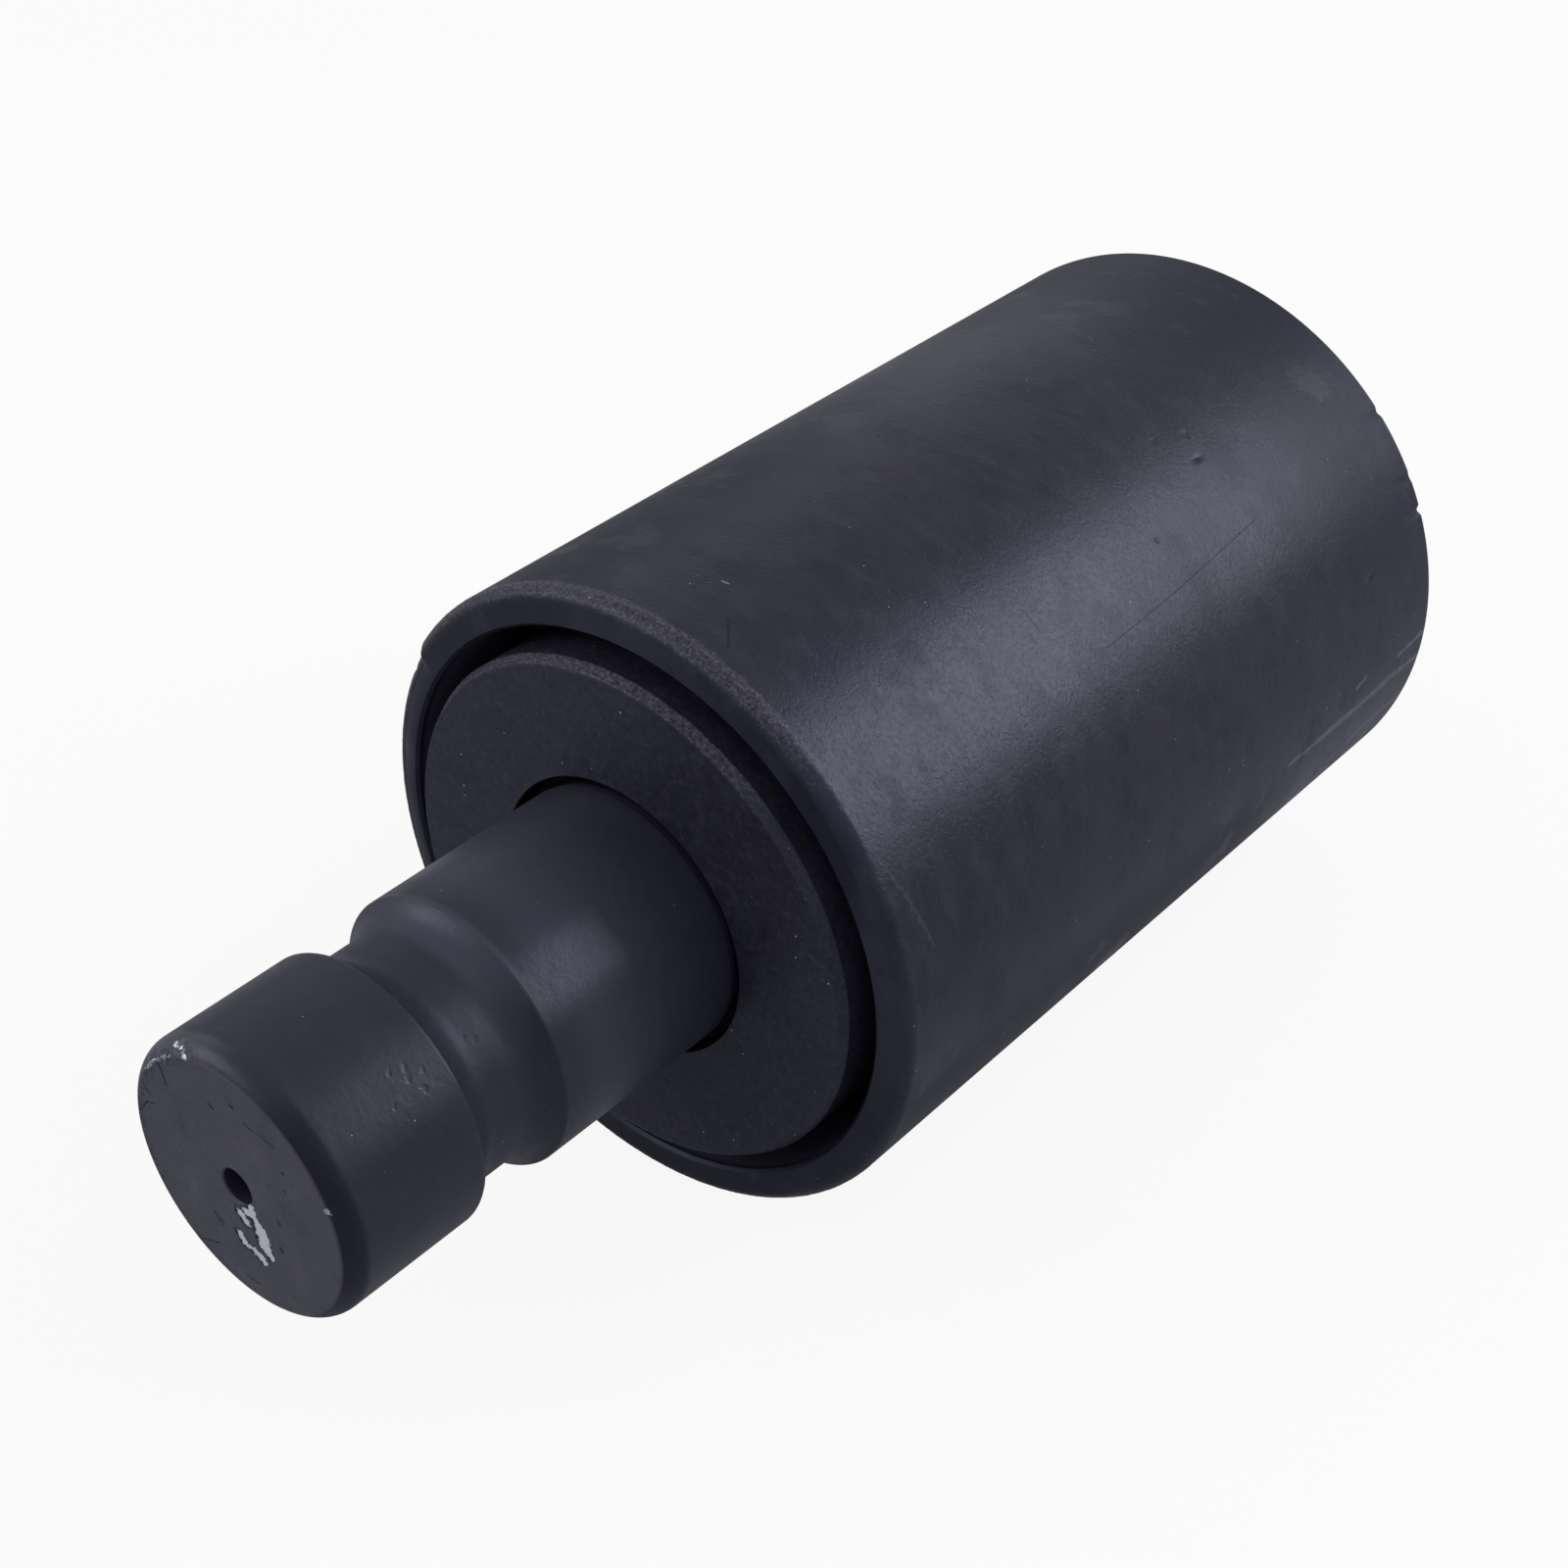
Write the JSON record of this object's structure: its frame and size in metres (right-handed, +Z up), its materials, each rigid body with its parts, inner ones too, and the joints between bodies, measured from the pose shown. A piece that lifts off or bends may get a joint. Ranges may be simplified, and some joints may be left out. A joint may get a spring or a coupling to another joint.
{
  "type": "track carrier roller",
  "caption": "Plain cylindrical roller sealed for life on a one-sided shaft that a grooved land clamps in a bracket, to carry the upper run of a crawler track.",
  "frame": {"origin": "on the roller's axis, in the middle plane of the half-round groove for the cross bolt", "axes": "+Y along the axis from the bare shaft end to the closed end, +Z up, +X completes a right-handed frame"},
  "size_m": [0.1, 0.2157, 0.1],
  "materials": {
    "shell_paint": "satin charcoal paint on turned steel, lightly mottled",
    "collar_paint": "satin charcoal paint on iron, rough on the chamfer",
    "shaft_paint": "satin charcoal paint, with bare chips on the end face",
    "cover_paint": "satin charcoal paint",
    "hardened_steel": "ground",
    "bare_steel": "machined",
    "bolt_steel": "dark zinc",
    "spring_steel": "oil blackened",
    "plug_steel": "zinc, lightly dulled",
    "seal_iron": "lapped on the running face",
    "bearing_bronze": "steel-backed bronze",
    "copper": "soft copper",
    "seal_rubber": "matt black"
  },
  "bodies": {
    "axle": {"axle_shaft": "shaft_paint", "seal_collar": "collar_paint", "collar_dowel": "hardened_steel", "collar_o_ring": "seal_rubber", "fixed_toric_ring": "seal_rubber", "fixed_seal_ring": "seal_iron", "near_thrust_washer": "bearing_bronze", "far_thrust_washer": "bearing_bronze", "retaining_plate": "bare_steel", "plate_bolts": "bolt_steel", "plate_lock_washers": "bolt_steel"},
    "roller": {"roller_shell": "shell_paint", "near_bush": "bearing_bronze", "far_bush": "bearing_bronze", "rotating_toric_ring": "seal_rubber", "rotating_seal_ring": "seal_iron", "end_cover": "cover_paint", "cover_o_ring": "seal_rubber", "cover_snap_ring": "spring_steel", "oil_plug": "plug_steel", "plug_seal_washer": "copper"}
  },
  "joints": [
    {"name": "roller_spin", "type": "hinge", "parent": "axle", "child": "roller", "pos_m": [0, 0.1139, 0], "axis": [0, 1, 0], "continuous": true}
  ]
}
